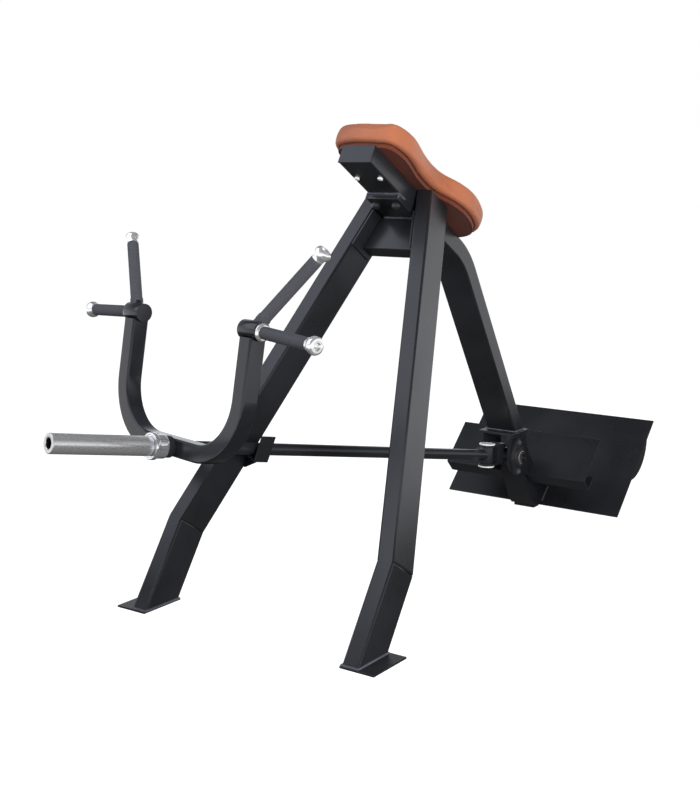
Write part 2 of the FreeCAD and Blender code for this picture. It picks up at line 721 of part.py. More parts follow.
def bar_catch():
    """Floor, lip and gusset of the hook; the floor and gusset are trimmed to the leg."""
    plane, thick = catch_plane(), size("catch_thick")
    low, lip = -size("catch_drop"), size("catch_lip_gap")
    floor = [(-60, low), (lip + thick, low), (lip + thick, low - thick), (-60, low - thick)]
    top = size("catch_lip_height")
    rise = [(lip, low), (lip + thick, low), (lip + thick, top), (lip, top)]
    drop_to = low - thick - size("gusset_drop")
    web = [(-60, low - thick), (lip - 4, low - thick), (-20, drop_to), (-60, drop_to)]
    keep(pad_body("catch_lip", [polygon(rise)], "<catch_length>", plane, centred=True), "catch_lip")
    base = pad_body("catch_floor_blank", [polygon(floor)], "<catch_length>", plane, centred=True)
    gusset = pad_body("catch_gusset_blank", [polygon(web)], "6 mm", plane, centred=True)
    for blank, label in ((base, "catch_floor"), (gusset, "catch_gusset")):
        half = size("leg_width") / 2
        points = [(-leg_line(size("knee_up")), size("knee_up")), (-leg_line(1200), 1200)]
        solid = pad_body(label + "_trim", [strip(points, [], half)], "<leg_depth> + 60",
                         at(FRAME_PLANE, 0, 0, -51), centred=True)
        keep(cut(label + "_cut", blank, solid), label)


# ---- fork on the shaft -----------------------------------------------------------------------
def build_fork():
    across = Rotation(Vector(0, 1, 0), 90)
    half = size("shaft_half")
    rod = Placement(SHAFT + Vector(-half, 0, 0), across)
    keep(cylinder("pivot_shaft", "<shaft_radius>", "2 * <shaft_half>", rod), "pivot_shaft")
    for side, label in ((1, "shaft_nut_right"), (-1, "shaft_nut_left")):
        place = Placement(SHAFT + Vector(side * (size("cheek_outer") + size("housing_thick") +
                                                 size("boss_length") + 0.5), 0, 0),
                          Rotation(Vector(0, 1, 0), 90 * side))
        nut = doc.addObject("Part::Prism", label + "_blank")
        nut.Polygon = 6
        nut.Circumradius = 19
        nut.Height = 8
        nut.Placement = place
        hole = cylinder(label + "_hole", "<shaft_radius>", "30 mm", place.multiply(
            Placement(Vector(0, 0, -5), Rotation())))
        keep(cut(label + "_cut", nut, hole), label)
    barrel_place = Placement(SHAFT + Vector(-41.5, 0, 0), across)
    barrel = cylinder("fork_barrel", "25 mm", "83 mm", barrel_place)
    ears_gap = size("bush_half") + 0.3
    arm = fork_arm(ears_gap)
    bore = cylinder("fork_bore", "<shaft_radius>", "200 mm", Placement(SHAFT + Vector(-100, 0, 0), across))
    pin_hole = cylinder("fork_pin_hole", "<pin_radius>", "120 mm", at(PIN_PLANE, 0, 0, -60))
    solid = fuse("fork_solid", barrel, *arm)
    keep(cut("fork_cut", solid, bore, pin_hole), "fork")
    reach = ears_gap + size("ear_thick")
    stem = cylinder("swing_pin", "<pin_radius>", "2 * (<bush_half> + 0.3 + <ear_thick>)",
                    at(PIN_PLANE, 0, 0, -reach))
    keep(stem, "swing_pin")
    for way, label in ((1, "pin_cap_top"), (-1, "pin_cap_bottom")):
        turn = PIN_UP * way
        place = axes(Vector(1, 0, 0), turn.cross(Vector(1, 0, 0)), turn, PIN + turn * reach)
        disc = cylinder(label + "_disc", "<pin_cap_radius>", "<pin_cap_thick>", place)
        keep(chamfer_circles(label + "_edge", disc, size("pin_cap_radius"), 1.2), label)


def fork_arm(ears_gap):
    """A block from the barrel towards the pin and two rounded ears over and under the bush."""
    thick, radius = size("ear_thick"), size("ear_radius")
    pieces = []
    for low in (ears_gap, -ears_gap - thick):
        pieces.append(cylinder("fork_eye_%d" % len(pieces), "<ear_radius>", "<ear_thick>",
                               at(PIN_PLANE, 0, 0, low)))
        pieces.append(box("fork_ear_%d" % len(pieces), "2 * <ear_radius>", "76 mm", "<ear_thick>",
                          at(PIN_PLANE, -radius, 0, low)))
    pieces.append(box("fork_web", "2 * <ear_radius>", "46 mm", "2 * (<bush_half> + 0.3 + <ear_thick>)",
                      at(PIN_PLANE, -radius, 30, -ears_gap - thick)))
    return pieces


# ---- lever -----------------------------------------------------------------------------------
def build_lever():
    keep(tube("swivel_bush", "<bush_radius>", "<pin_radius> + <running_gap>", "2 * <bush_half>",
              at(PIN_PLANE, 0, 0, -size("bush_half"))), "swivel_bush")
    bar = cylinder("bar_blank", "<bar_radius>", "<yoke_reach> - <yoke_tube> / 2", at(LEVER, 0, 0, 0))
    clear = cylinder("bar_clear", "<bush_radius>", "120 mm", at(PIN_PLANE, 0, 0, -60))
    keep(cut("bar_cut", bar, clear), "lever_bar")
    yoke()
    front = size("yoke_reach") + size("yoke_tube") / 2
    keep(tube("yoke_ring", "<ring_radius>", "<sleeve_bore>", "<ring_length>", at(LEVER, 0, 0, front)),
         "yoke_ring")
    front += size("ring_length")
    shell = cylinder("collar_shell", "<collar_radius>", "<collar_length>", at(LEVER, 0, 0, front))
    rim = cylinder("collar_rim", "<flange_radius>", "<flange_length>",
                   at(LEVER, 0, 0, front + size("collar_length")))
    body = fuse("collar_body", shell, rim)
    body = chamfer_circles("collar_edge", body, size("flange_radius"), 2.0)
    inside = cylinder("collar_inside", "<sleeve_spigot>", "100 mm", at(LEVER, 0, 0, front - 10))
    keep(cut("collar_cut", body, inside), "sleeve_collar")
    bare = front + size("collar_length") + size("flange_length")
    spigot = cylinder("sleeve_spigot", "<sleeve_spigot>", "<collar_length> + <flange_length>",
                      at(LEVER, 0, 0, front))
    relief = cylinder("sleeve_relief", "<sleeve_relief>", "<relief_length>", at(LEVER, 0, 0, bare))
    barrel = cylinder("sleeve_barrel", "<sleeve_radius>", "<sleeve_length>",
                      at(LEVER, 0, 0, bare + size("relief_length")))
    tip = bare + size("relief_length") + size("sleeve_length")
    barrel = chamfer_circles("sleeve_nose", barrel, size("sleeve_radius"), size("sleeve_chamfer"),
                             lambda edge: abs(LEVER.inverse().multVec(edge.Vertexes[0].Point).z - tip) < 1e-3)
    hollow = cylinder("sleeve_hollow", "<sleeve_bore>", "400 mm", at(LEVER, 0, 0, front - 10))
    keep(cut("sleeve_cut", fuse("sleeve_solid", spigot, relief, barrel), hollow), "weight_sleeve")


def yoke():
    """U of square tube across the lever, one arm up to each handle hub."""
    half, tall = size("yoke_half"), size("yoke_height") - size("hub_radius") + 6
    points = [(-half, tall), (-half, 0), (half, 0), (half, tall)]
    bends = [size("yoke_bend")] * 2
    width = size("yoke_tube") / 2
    plane = at(LEVER, 0, 0, size("yoke_reach"))
    body = pad_body("yoke_blank", [strip(points, bends, width)], "<yoke_tube>", plane, centred=True)
    round_edges(body, "yoke_blank", lengthwise(width, 2.2 * width))
    inner = strip(points, bends, width - size("yoke_wall"), stretch=5.0)
    pocket(body, "yoke_bore", [inner], "<yoke_tube> - 2 * <yoke_wall>")
    hubs = []
    for side in (1, -1):
        place = at(LEVER, side * half - size("hub_half") - 5, size("yoke_height"), size("yoke_reach"),
                   Rotation(Vector(0, 1, 0), 90))
        hubs.append(cylinder("yoke_hub_seat_%d" % (side + 2), "<hub_radius>", "2 * <hub_half> + 10", place))
    keep(cut("yoke_cut", body, *hubs), "yoke")


def handle_frame(side, direction):
    """A frame at a hub's centre whose local z runs out along the hub or one of its two handles."""
    hub = Vector(side * size("yoke_half"), size("yoke_height"), size("yoke_reach"))
    droop = rad("cross_droop")
    if direction == "hub":
        out = Vector(side, 0, 0)
    elif direction == "cross":
        out = Vector(side * math.cos(droop), -math.sin(droop), 0)
    else:
        out = Vector(side * size("raised_out"), size("raised_up"), -size("raised_back"))
        out.normalize()
    across = Vector(0, 0, 1).cross(out)
    across.normalize()
    local = axes(across, out.cross(across), out, hub)
    return LEVER.multiply(local)


def end_cap(side, direction, label, start, radius):
    """Turned cap: a neck, a wider head and a countersunk hole for its screw."""
    frame = handle_frame(side, direction)
    neck = cylinder(label + "_neck", "<cap_neck>", "<cap_neck_length>", at(frame, 0, 0, start))
    head = cylinder(label + "_head", radius, "<cap_length> - <cap_neck_length>",
                    at(frame, 0, 0, start + size("cap_neck_length")))
    blank = fuse(label + "_solid", neck, head)
    solid = chamfer_circles(label + "_edge", blank, size(radius.strip("<>")), 2.0)
    sink = doc.addObject("Part::Cone", label + "_sink")
    sink.Radius1 = 4
    sink.Radius2 = 9
    sink.Height = 5
    sink.Placement = at(frame, 0, 0, start + size("cap_length") - 5)
    return keep(cut(label + "_cut", solid, sink), label)


def handles(side, word):
    """Hub with its two handle cores, a ring, two grips and two end caps."""
    cross, raised = handle_frame(side, "cross"), handle_frame(side, "raised")
    middle = handle_frame(side, "hub")
    hub = cylinder("hub_%s" % word, "<hub_radius>", "2 * <hub_half>", at(middle, 0, 0, -size("hub_half")))
    core = cylinder("cross_core_%s" % word, "<core_radius>", "<cross_reach> - <cap_length> - 20",
                    at(cross, 0, 0, 20))
    stem = cylinder("raised_core_%s" % word, "<core_radius>", "<raised_reach> - <cap_length> - 20",
                    at(raised, 0, 0, 20))
    boss = cylinder("raised_boss_%s" % word, "<raised_boss_radius>", "<hub_radius> + <raised_boss_length>",
                    at(raised, 0, 0, 0))
    solid = fuse("handle_hub_%s_solid" % word, hub, core, stem, boss, refine=False)
    ring_start = size("hub_half") - size("ring_inset")
    seat = tube("ring_seat_%s" % word, "<handle_ring_radius> + 0.2", "<core_radius>",
                "<handle_ring_length> + 0.2", at(cross, 0, 0, ring_start))
    keep(cut("handle_hub_%s_cut" % word, solid, seat), "handle_hub_" + word)
    ring = tube("ring_%s" % word, "<handle_ring_radius>", "<core_radius>", "<handle_ring_length>",
                at(cross, 0, 0, ring_start))
    keep(ring, "handle_ring_" + word)
    grip_start = ring_start + size("handle_ring_length")
    cap_start = size("cross_reach") - size("cap_length")
    grip(cross, grip_start,
         "<cross_reach> - <cap_length> - <hub_half> + <ring_inset> - <handle_ring_length>",
         "cross_grip_" + word)
    end_cap(side, "cross", "cross_cap_" + word, cap_start, "<cap_radius>")
    grip_start = size("hub_radius") + size("raised_boss_length")
    cap_start = size("raised_reach") - size("cap_length")
    grip(raised, grip_start, "<raised_reach> - <cap_length> - <hub_radius> - <raised_boss_length>",
         "raised_grip_" + word)
    end_cap(side, "raised", "raised_cap_" + word, cap_start, "<raised_cap_radius>")


def grip(frame, start, length, label):
    sleeve = tube(label + "_tube", "<grip_radius>", "<core_radius>", length, at(frame, 0, 0, start))
    return keep(sleeve, label)


build_front_frame()
build_spine()
build_rear_base()
bar_catch()
build_fork()
build_lever()
handles(1, "right")
handles(-1, "left")

# ---- check and export ------------------------------------------------------------------------
doc.recompute()
for obj in doc.Objects:
    if "Invalid" in obj.State or "Error" in obj.State:
        raise RuntimeError("%s: %s" % (obj.Name, obj.State))
for obj, label in made:
    shape = obj.Shape
    if shape.isNull() or not shape.isValid() or len(shape.Solids) != 1:
        raise RuntimeError("%s: null %s valid %s solids %d" % (label, shape.isNull(), shape.isValid(),
                                                              len(shape.Solids)))
    shape.exportStep(os.path.join("parts", label + ".step"))
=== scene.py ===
import json
import math

import bmesh
import bpy
import numpy as np
from mathutils import Matrix, Vector


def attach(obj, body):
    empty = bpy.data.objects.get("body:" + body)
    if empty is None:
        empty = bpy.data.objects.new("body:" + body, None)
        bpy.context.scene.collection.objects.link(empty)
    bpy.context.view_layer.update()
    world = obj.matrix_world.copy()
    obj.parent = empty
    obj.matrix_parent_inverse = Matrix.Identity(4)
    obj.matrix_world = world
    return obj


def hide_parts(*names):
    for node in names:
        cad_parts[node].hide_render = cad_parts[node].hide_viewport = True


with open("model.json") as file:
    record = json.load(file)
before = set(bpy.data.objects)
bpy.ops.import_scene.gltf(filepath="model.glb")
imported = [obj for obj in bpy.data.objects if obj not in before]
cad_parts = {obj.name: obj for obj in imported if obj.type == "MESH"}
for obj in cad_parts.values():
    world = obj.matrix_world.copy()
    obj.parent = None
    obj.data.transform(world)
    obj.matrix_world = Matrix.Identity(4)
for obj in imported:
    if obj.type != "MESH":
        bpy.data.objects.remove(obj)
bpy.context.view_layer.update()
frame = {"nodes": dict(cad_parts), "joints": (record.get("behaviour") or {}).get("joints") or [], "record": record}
nodes = frame["nodes"]
scene = bpy.context.scene

# ---- camera ----------------------------------------------------------------------------------
camera_data = bpy.data.cameras.new("camera")
camera_data.sensor_width = 36.0
camera_data.lens = 56.97
camera = bpy.data.objects.new("camera", camera_data)
camera.location = (1.8646, -3.6475, 1.1081)
camera.rotation_euler = (math.radians(79.5), 0.0, math.radians(35.17))
scene.collection.objects.link(camera)
scene.camera = camera

# ---- frames ----------------------------------------------------------------------------------
joints = {j["name"]: j for j in frame["joints"]}
PIN = Vector(joints["swing"]["pos_m"])
SHAFT = Vector(joints["lift"]["pos_m"])
mounts = {m["name"]: m for m in frame["record"]["mounts"]}
AHEAD = Vector(mounts["weight_sleeve"]["axis"]).normalized()
ACROSS = Vector((0, 0, 1)).cross(AHEAD).normalized()
ABOVE = AHEAD.cross(ACROSS)


def columns(x, y, z, base):
    """A matrix taking the local axes onto three directions at a point."""
    matrix = Matrix.Identity(4)
    for i, axis in enumerate((x, y, z)):
        for j in range(3):
            matrix[j][i] = axis[j]
    matrix.translation = base
    return matrix


LEVER = columns(ACROSS, ABOVE, AHEAD, PIN)
YOKE_HALF, YOKE_HEIGHT, YOKE_REACH = 0.253, 0.3175, 1.156

# ---- materials -------------------------------------------------------------------------------


def new_material(name):
    material = bpy.data.materials.new(name)
    material.use_nodes = True
    tree = material.node_tree
    shader = tree.nodes["Principled BSDF"]
    return material, tree, shader


def noise(tree, scale, detail=2.0, stretch=None):
    """Noise over the object's own metres, drawn out along chosen axes."""
    place = tree.nodes.new("ShaderNodeTexCoord")
    texture = tree.nodes.new("ShaderNodeTexNoise")
    texture.inputs["Scale"].default_value = scale
    texture.inputs["Detail"].default_value = detail
    if stretch:
        spread = tree.nodes.new("ShaderNodeMapping")
        spread.inputs["Scale"].default_value = stretch
        tree.links.new(place.outputs["Object"], spread.inputs["Vector"])
        tree.links.new(spread.outputs["Vector"], texture.inputs["Vector"])
    else:
        tree.links.new(place.outputs["Object"], texture.inputs["Vector"])
    return texture


def bump(tree, shader, source, strength, distance, before=None):
    node = tree.nodes.new("ShaderNodeBump")
    node.inputs["Strength"].default_value = strength
    node.inputs["Distance"].default_value = distance
    tree.links.new(source, node.inputs["Height"])
    if before:
        tree.links.new(before.outputs["Normal"], node.inputs["Normal"])
    tree.links.new(node.outputs["Normal"], shader.inputs["Normal"])
    return node


def vary(tree, source, socket, low, high, from_low=0.3, from_high=0.7):
    """Drive a number by a texture between two values."""
    ramp = tree.nodes.new("ShaderNodeMapRange")
    ramp.inputs["From Min"].default_value = from_low
    ramp.inputs["From Max"].default_value = from_high
    ramp.inputs["To Min"].default_value = low
    ramp.inputs["To Max"].default_value = high
    tree.links.new(source, ramp.inputs["Value"])
    tree.links.new(ramp.outputs["Result"], socket)


def tint(tree, shader, source, dark, light):
    ramp = tree.nodes.new("ShaderNodeValToRGB")
    ramp.color_ramp.elements[0].position = 0.35
    ramp.color_ramp.elements[0].color = (*dark, 1)
    ramp.color_ramp.elements[1].position = 0.65
    ramp.color_ramp.elements[1].color = (*light, 1)
    tree.links.new(source, ramp.inputs["Fac"])
    tree.links.new(ramp.outputs["Color"], shader.inputs["Base Color"])


def powder_coat(name, dark, light, rough):
    """Satin powder coat: a fine orange peel over faint cloudiness."""
    material, tree, shader = new_material(name)
    cloud = noise(tree, 6.0, 3.0)
    tint(tree, shader, cloud.outputs["Fac"], dark, light)
    vary(tree, cloud.outputs["Fac"], shader.inputs["Roughness"], rough - 0.05, rough + 0.05)
    bump(tree, shader, noise(tree, 500.0, 1.0).outputs["Fac"], 0.03, 0.0004)
    shader.inputs["Specular IOR Level"].default_value = 0.5
    return material


def metal(name, colour, rough, stretch=None, strength=0.05, metallic=1.0):
    material, tree, shader = new_material(name)
    shader.inputs["Metallic"].default_value = metallic
    shader.inputs["Base Color"].default_value = (*colour, 1)
    lines = noise(tree, 60.0, 4.0, stretch or (1, 1, 1))
    vary(tree, lines.outputs["Fac"], shader.inputs["Roughness"], rough * 0.75, rough * 1.3)
    bump(tree, shader, lines.outputs["Fac"], strength, 0.0003)
    return material


def rubber(name, colour, scale):
    """Matt foam-like rubber with a fine pitted skin."""
    material, tree, shader = new_material(name)
    spots = noise(tree, scale, 3.0)
    tint(tree, shader, spots.outputs["Fac"], tuple(c * 0.75 for c in colour), tuple(c * 1.2 for c in colour))
    shader.inputs["Roughness"].default_value = 0.75
    shader.inputs["Specular IOR Level"].default_value = 0.35
    bump(tree, shader, spots.outputs["Fac"], 0.35, 0.0006)
    return material


def plain_paint(name, colour, rough):
    material, _, shader = new_material(name)
    shader.inputs["Base Color"].default_value = (*colour, 1)
    shader.inputs["Roughness"].default_value = rough
    return material


def vinyl(name, dark, light):
    """Leather-like vinyl: a pebbled grain with softer broad mottling."""
    material, tree, shader = new_material(name)
    tint(tree, shader, noise(tree, 9.0, 3.0).outputs["Fac"], dark, light)
    place = tree.nodes.new("ShaderNodeTexCoord")
    cells = tree.nodes.new("ShaderNodeTexVoronoi")
    cells.feature = "DISTANCE_TO_EDGE"
    cells.inputs["Scale"].default_value = 420.0
    tree.links.new(place.outputs["Object"], cells.inputs["Vector"])
    grain = bump(tree, shader, cells.outputs["Distance"], 0.25, 0.0005)
    bump(tree, shader, noise(tree, 60.0, 2.0).outputs["Fac"], 0.08, 0.001, before=grain)
    shader.inputs["Roughness"].default_value = 0.48
    shader.inputs["Specular IOR Level"].default_value = 0.35
    shader.inputs["Sheen Weight"].default_value = 0.04
    return material


BLACK = powder_coat("black_coat", (0.009, 0.0095, 0.011), (0.013, 0.0135, 0.016), 0.30)
GLOSSY = powder_coat("yoke_coat", (0.009, 0.0095, 0.012), (0.012, 0.0125, 0.016), 0.2)
CAST = powder_coat("cast_black", (0.011, 0.011, 0.012), (0.018, 0.018, 0.02), 0.42)
# The weld beads, housing washers and bolt heads take a black five times lighter than the frame's, with a blue
# cast: painted highlight for the light their edges catch.
WELD = powder_coat("lightened_black_painted_highlight", (0.045, 0.045, 0.062), (0.07, 0.07, 0.09), 0.25)
STEEL = metal("brushed_steel", (0.66, 0.66, 0.66), 0.30, (1, 1, 12), 0.12, 0.85)
CHROME = metal("chrome", (0.86, 0.87, 0.88), 0.13, strength=0.02, metallic=0.9)
ALUMINIUM = metal("aluminium", (0.88, 0.88, 0.88), 0.20, strength=0.01, metallic=0.85)
ZINC = metal("zinc", (0.92, 0.92, 0.93), 0.28, metallic=0.35)
NUT = metal("dark_steel", (0.36, 0.36, 0.37), 0.26, strength=0.02)
GRIP = rubber("grip_rubber", (0.052, 0.052, 0.060), 500.0)
FOOT = rubber("foot_rubber", (0.015, 0.015, 0.015), 300.0)
VINYL = vinyl("pad_vinyl", (0.265, 0.082, 0.038), (0.315, 0.104, 0.049))
BACKING = vinyl("pad_back", (0.085, 0.019, 0.008), (0.115, 0.027, 0.012))
PIPING = vinyl("pad_piping", (0.06, 0.016, 0.009), (0.09, 0.024, 0.013))
# Near-black paint for a disc and liner inside the sleeve's mouth: painted shade for the dark inside of the bore.
BORE_SHADE_PAINT = plain_paint("painted_bore_shade", (0.01, 0.01, 0.01), 0.5)

LOOKS = {
    "frame_black": BLACK, "bearing_black": CAST, "ring_black": BLACK, "pad_vinyl": VINYL,
    "pad_back": BACKING, "grip_rubber": GRIP, "foot_rubber": FOOT, "bright_aluminium": ALUMINIUM,
    "bright_chrome": CHROME, "brushed_steel": STEEL,
}
OWN_LOOK = {"yoke": GLOSSY, "handle_hub_left": GLOSSY, "handle_hub_right": GLOSSY, "pivot_shaft": CAST,
            "pad_screw_left": ZINC, "pad_screw_right": ZINC, "pin_cap_top": ZINC, "pin_cap_bottom": ZINC,
            "shaft_nut_left": NUT, "shaft_nut_right": NUT}
EDGE = 0.0009
OWN_EDGE = {"crossbar": 0.0035, "spine_flange": 0.0015, "handle_hub_left": 0.0015,
            "handle_hub_right": 0.0015, "yoke": 0.0002, "catch_lip": 0.0014, "catch_floor": 0.0014,
            "step_plate": 0.0012}
SQUARE = {"front_leg_left", "front_leg_right", "front_shin_left", "front_shin_right"}
SHARP = math.radians(40)


def dress_frame():
    """Give each CAD node its material, and soften the edges of all but the mitred leg tubes."""
    slots = {row["node"]: row["material_slot"] for row in frame["record"]["subparts"]}
    for name, obj in nodes.items():
        obj.data.materials.clear()
        obj.data.materials.append(OWN_LOOK.get(name, LOOKS[slots[name]]))
        weld = obj.modifiers.new("weld", "WELD")
        weld.merge_threshold = 0.00002
        flat = obj.modifiers.new("flat", "DECIMATE")
        flat.decimate_type = "DISSOLVE"
        flat.angle_limit = math.radians(0.6)
        if name in SQUARE:
            continue
        bevel = obj.modifiers.new("bevel", "BEVEL")
        bevel.width = OWN_EDGE.get(name, EDGE)
        bevel.segments = 3
        bevel.limit_method = "ANGLE"
        bevel.angle_limit = SHARP


dress_frame()


# ---- mesh builders ---------------------------------------------------------------------------
def add_mesh(name, verts, faces, material):
    mesh = bpy.data.meshes.new(name)
    mesh.from_pydata([tuple(v) for v in verts], [], faces)
    mesh.update()
    obj = bpy.data.objects.new(name, mesh)
    scene.collection.objects.link(obj)
    mesh.materials.append(material)
    return obj


def lathe(name, profile, place, material, body, segments=64, closed=False, bevel=0.0003):
    """Turn a profile of (radius, height) pairs, in metres, about the local z of a matrix."""
    verts, rows = [], []
    for radius, height in profile:
        if radius < 1e-6:
            rows.append([len(verts)] * segments)
            verts.append(place @ Vector((0, 0, height)))
        else:
            rows.append(list(range(len(verts), len(verts) + segments)))
            for i in range(segments):
                turn = 2 * math.pi * i / segments
                verts.append(place @ Vector((radius * math.cos(turn), radius * math.sin(turn), height)))
    faces = []
    pairs = list(zip(rows, rows[1:])) + ([(rows[-1], rows[0])] if closed else [])
    for low, high in pairs:
        for i in range(segments):
            j = (i + 1) % segments
            corners = []
            for v in (low[i], low[j], high[j], high[i]):
                if v not in corners:
                    corners.append(v)
            if len(corners) > 2:
                faces.append(corners)
    obj = add_mesh(name, verts, faces, material)
    finish_mesh(obj, bevel)
    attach(obj, body)
    return obj


def finish_mesh(obj, bevel=0.0003):
    """Point the faces outwards, round the sharp edges a little and shade smoothly between them."""
    mesh = bmesh.new()
    mesh.from_mesh(obj.data)
    bmesh.ops.recalc_face_normals(mesh, faces=mesh.faces)
    for face in mesh.faces:
        face.smooth = True
    for edge in mesh.edges:
        if len(edge.link_faces) == 2 and edge.calc_face_angle() > SHARP:
            edge.smooth = False
    mesh.to_mesh(obj.data)
    mesh.free()
    if bevel:
        rounding = obj.modifiers.new("bevel", "BEVEL")
        rounding.width = bevel
        rounding.segments = 2
        rounding.limit_method = "ANGLE"
        rounding.angle_limit = SHARP


def resample(points, step, closed):
    """Evenly spaced points along a polyline."""
    line = [Vector(p) for p in points]
    if closed:
        line.append(line[0])
    out = []
    for a, b in zip(line, line[1:]):
        count = max(1, round((b - a).length / step))
        out += [a.lerp(b, i / count) for i in range(count)]
    if not closed:
        out.append(line[-1])
    return out


def rope(name, points, radius, material, body, step=0.002, closed=False, ripple=0.0, pitch=0.005, sides=8):
    """A round bead along a polyline; ripple gives it the overlapping scales of a weld."""
    line = resample(points, step, closed)
    count = len(line)
    verts, faces = [], []
    travelled = 0.0
    up = None
    for i, point in enumerate(line):
        before = line[i - 1] if i or closed else point
        after = line[(i + 1) % count] if i + 1 < count or closed else point
        along = (after - before).normalized()
        if up is None:
            up = Vector((0, 0, 1)) if abs(along.z) < 0.9 else Vector((1, 0, 0))
        right = along.cross(up).normalized()
        up = right.cross(along).normalized()
        travelled += (point - before).length
        scale = 1 + ripple * (abs(math.sin(math.pi * travelled / pitch)) - 0.5)
        scale *= 1 + 0.35 * ripple * math.sin(37.0 * travelled / pitch + 1.7)
        for k in range(sides):
            turn = 2 * math.pi * k / sides
            verts.append(point + (right * math.cos(turn) + up * math.sin(turn)) * radius * scale)
    for i in range(count if closed else count - 1):
        for k in range(sides):
            a, b = i * sides + k, i * sides + (k + 1) % sides
            c = ((i + 1) % count) * sides
            faces.append((a, b, c + (k + 1) % sides, c + k))
    if not closed:
        faces.append(tuple(range(sides)))
        faces.append(tuple(range((count - 1) * sides, count * sides)))
    obj = add_mesh(name, verts, faces, material)
    finish_mesh(obj, 0)
    for polygon in obj.data.polygons:
        polygon.use_smooth = True
    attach(obj, body)
    return obj


def bead(name, points, body="stand", radius=0.003, closed=False):
    """A weld bead in the lighter, bluish black, a painted highlight."""
    obj = rope(name, points, radius, WELD, body, closed=closed, ripple=0.35)
    return obj


# ---- frames of the built parts -----------------------------------------------------------------
DROP = math.radians(30.54)
LEAN = math.radians(33.85)
SPINE = columns(Vector((1, 0, 0)), Vector((0, math.cos(DROP), -math.sin(DROP))),
                Vector((0, math.sin(DROP), math.cos(DROP))), Vector((0, -0.960, 1.159)))
LEG = columns(Vector((1, 0, 0)), Vector((0, math.sin(LEAN), math.cos(LEAN))),
              Vector((0, -math.cos(LEAN), math.sin(LEAN))), Vector((0, -1.468, 0)))


def face_outline(node, place, height):
    """Ordered outline of a flat face that lies at a height in a frame, as points of that frame."""
    inverse = place.inverted()
    turn = inverse.to_3x3()
    mesh = bmesh.new()
    mesh.from_mesh(nodes[node].data)
    bmesh.ops.remove_doubles(mesh, verts=mesh.verts, dist=0.00002)
    flat = {f.index for f in mesh.faces if abs(abs((turn @ f.normal).z) - 1) < 1e-3
            and all(abs((inverse @ v.co).z - height) < 2e-4 for v in f.verts)}
    ring = {}
    for edge in mesh.edges:
        if sum(f.index in flat for f in edge.link_faces) == 1:
            for v, w in (edge.verts, reversed(edge.verts)):
                ring.setdefault(v.index, []).append(w.index)
    mesh.verts.ensure_lookup_table()
    loops, seen = [], set()
    for start in sorted(ring):
        if start in seen:
            continue
        loop, here = [], start
        while here is not None:
            seen.add(here)
            loop.append(here)
            here = next((i for i in ring[here] if i not in seen), None)
        loops.append(loop)
    longest = max(loops, key=len)
    points = [inverse @ mesh.verts[i].co for i in longest]
    mesh.free()
    return points


def even(points, count):
    """The same closed outline with evenly spaced points."""
    loop = [Vector((p.x, p.y)) for p in points]
    steps = [(b - a).length for a, b in zip(loop, loop[1:] + loop[:1])]
    total, out, at, i = sum(steps), [], 0.0, 0
    for k in range(count):
        goal = total * k / count
        while at + steps[i] < goal:
            at += steps[i]
            i += 1
        out.append(loop[i].lerp(loop[(i + 1) % len(loop)], (goal - at) / steps[i]))
    return out


def drawn_in(loop, inset):
    """A smooth closed outline moved inwards."""
    area = sum(a.cross(b) for a, b in zip(loop, loop[1:] + loop[:1]))
    way = 1 if area > 0 else -1
    out = []
    for i, point in enumerate(loop):
        tangent = (loop[(i + 2) % len(loop)] - loop[i - 2]).normalized()
        out.append(point + Vector((-tangent.y, tangent.x)) * way * inset)
    return out


# ---- chest pad -------------------------------------------------------------------------------
BOARD_TOP = 0.012
OUTLINE_POINTS = 240
# inset from the pad's outline and height over the board's underside, from the bottom seam to the top
CUSHION = [(0.0165, 0.0128), (0.0085, 0.0132), (0.0032, 0.0156), (0.0010, 0.0215), (0.0002, 0.031),
           (0.0, 0.042), (0.0010, 0.0530), (0.0034, 0.0610), (0.0080, 0.0668), (0.0150, 0.0698),
           (0.0260, 0.0712), (0.0400, 0.0717)]


def apply_all(obj):
    """Replace a piece's mesh by what its modifiers make of it."""
    graph = bpy.context.evaluated_depsgraph_get()
    made = bpy.data.meshes.new_from_object(obj.evaluated_get(graph))
    obj.modifiers.clear()
    old = obj.data
    obj.data = made
    bpy.data.meshes.remove(old)


def blank_pad():
    """The cushion before it is filled: rounded sides over the outline and a nearly flat top."""
    loop = even(face_outline("chest_pad", SPINE, BOARD_TOP), OUTLINE_POINTS)
    count = len(loop)
    verts, faces = [], []
    for inset, height in CUSHION:
        verts += [SPINE @ Vector((p.x, p.y, height)) for p in drawn_in(loop, inset)]
    for row in range(len(CUSHION) - 1):
        for i in range(count):
            j = (i + 1) % count
            faces.append((row * count + i, row * count + j, (row + 1) * count + j, (row + 1) * count + i))
    faces.append(tuple(range(count)))
    faces.append(tuple(range((len(CUSHION) - 1) * count, len(CUSHION) * count)))
    return add_mesh("chest_cushion", verts, faces, VINYL)


